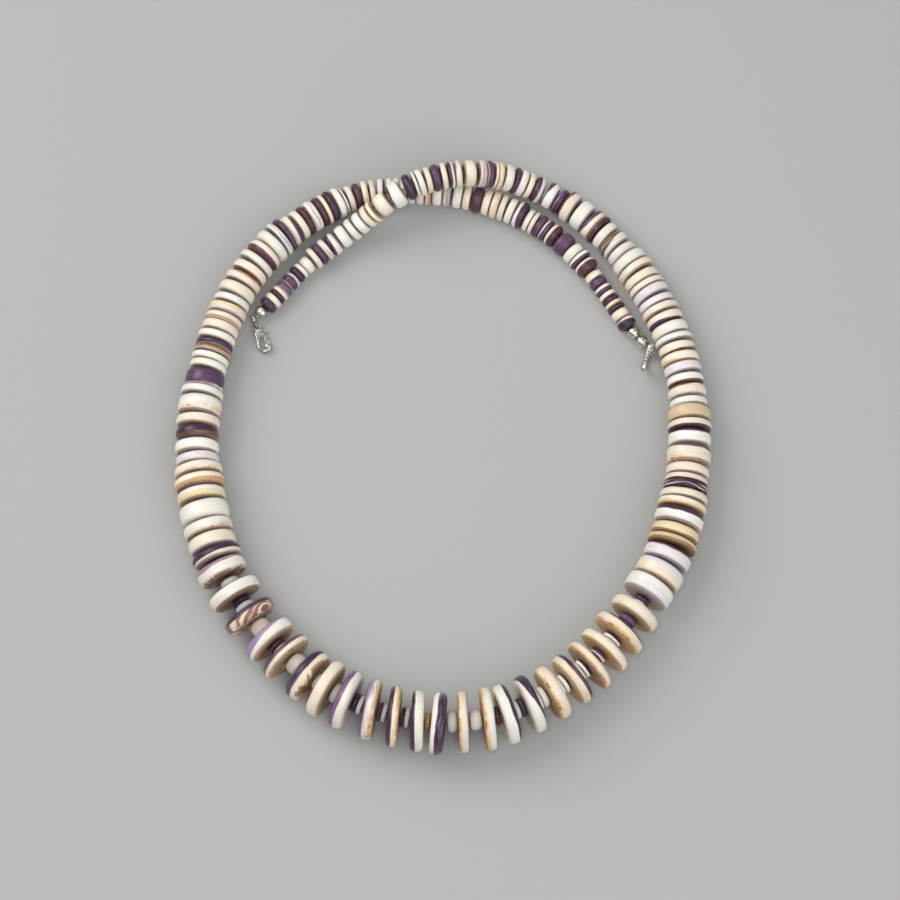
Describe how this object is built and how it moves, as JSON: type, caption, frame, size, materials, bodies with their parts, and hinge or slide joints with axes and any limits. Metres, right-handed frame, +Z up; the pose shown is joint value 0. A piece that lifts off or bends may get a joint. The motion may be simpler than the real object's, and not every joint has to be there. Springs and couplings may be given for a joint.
{
  "type": "shell disc necklace",
  "caption": "Strand of polished purple and white shell discs laid in an open loop, with a silver lobster clasp and a twisted wire ring at its two free ends.",
  "frame": {"origin": "middle of the bounding box, on the surface that the discs rest on", "axes": "+Z up, +Y from the large front discs to the crossing at the back, +X towards the side that ends in the twisted ring"},
  "size_m": [0.1258, 0.1452, 0.0147],
  "materials": {
    "shell_cream": "polished, silky gloss",
    "shell_two_tone": "polished, silky gloss",
    "shell_purple": "polished, silky gloss",
    "silver": "polished silver",
    "cable": "nylon coated beading cable, matt"
  },
  "bodies": {
    "strand": {"disc_01": "shell_cream", "disc_02": "shell_cream", "disc_03": "shell_cream", "disc_04": "shell_cream", "disc_05": "shell_two_tone", "disc_06": "shell_cream", "disc_07": "shell_two_tone", "disc_08": "shell_two_tone", "disc_09": "shell_cream", "disc_10": "shell_cream", "disc_11": "shell_purple", "disc_12": "shell_two_tone", "disc_13": "shell_two_tone", "disc_14": "shell_two_tone", "disc_15": "shell_two_tone", "disc_16": "shell_cream", "disc_17": "shell_two_tone", "disc_18": "shell_two_tone", "disc_19": "shell_two_tone", "disc_20": "shell_two_tone", "disc_21": "shell_cream", "disc_22": "shell_two_tone", "spacer_beads": "shell_two_tone", "right_string": "shell_cream", "left_string": "shell_cream", "clasp_ball": "silver", "ring_ball_inner": "silver", "ring_ball_outer": "silver", "twisted_ring": "silver", "crimp_tube": "silver", "thread": "cable", "clasp_body": "silver"},
    "lever": {"clasp_lever": "silver"}
  },
  "joints": [
    {"name": "lever_hinge", "type": "hinge", "parent": "strand", "child": "lever", "pos_m": [-0.04303, 0.0319, 0.0009], "axis": [0, 0, -1], "range_deg": [0, 17], "stiffness_Nm_per_rad": 0.002, "springref_deg": -5.73}
  ]
}
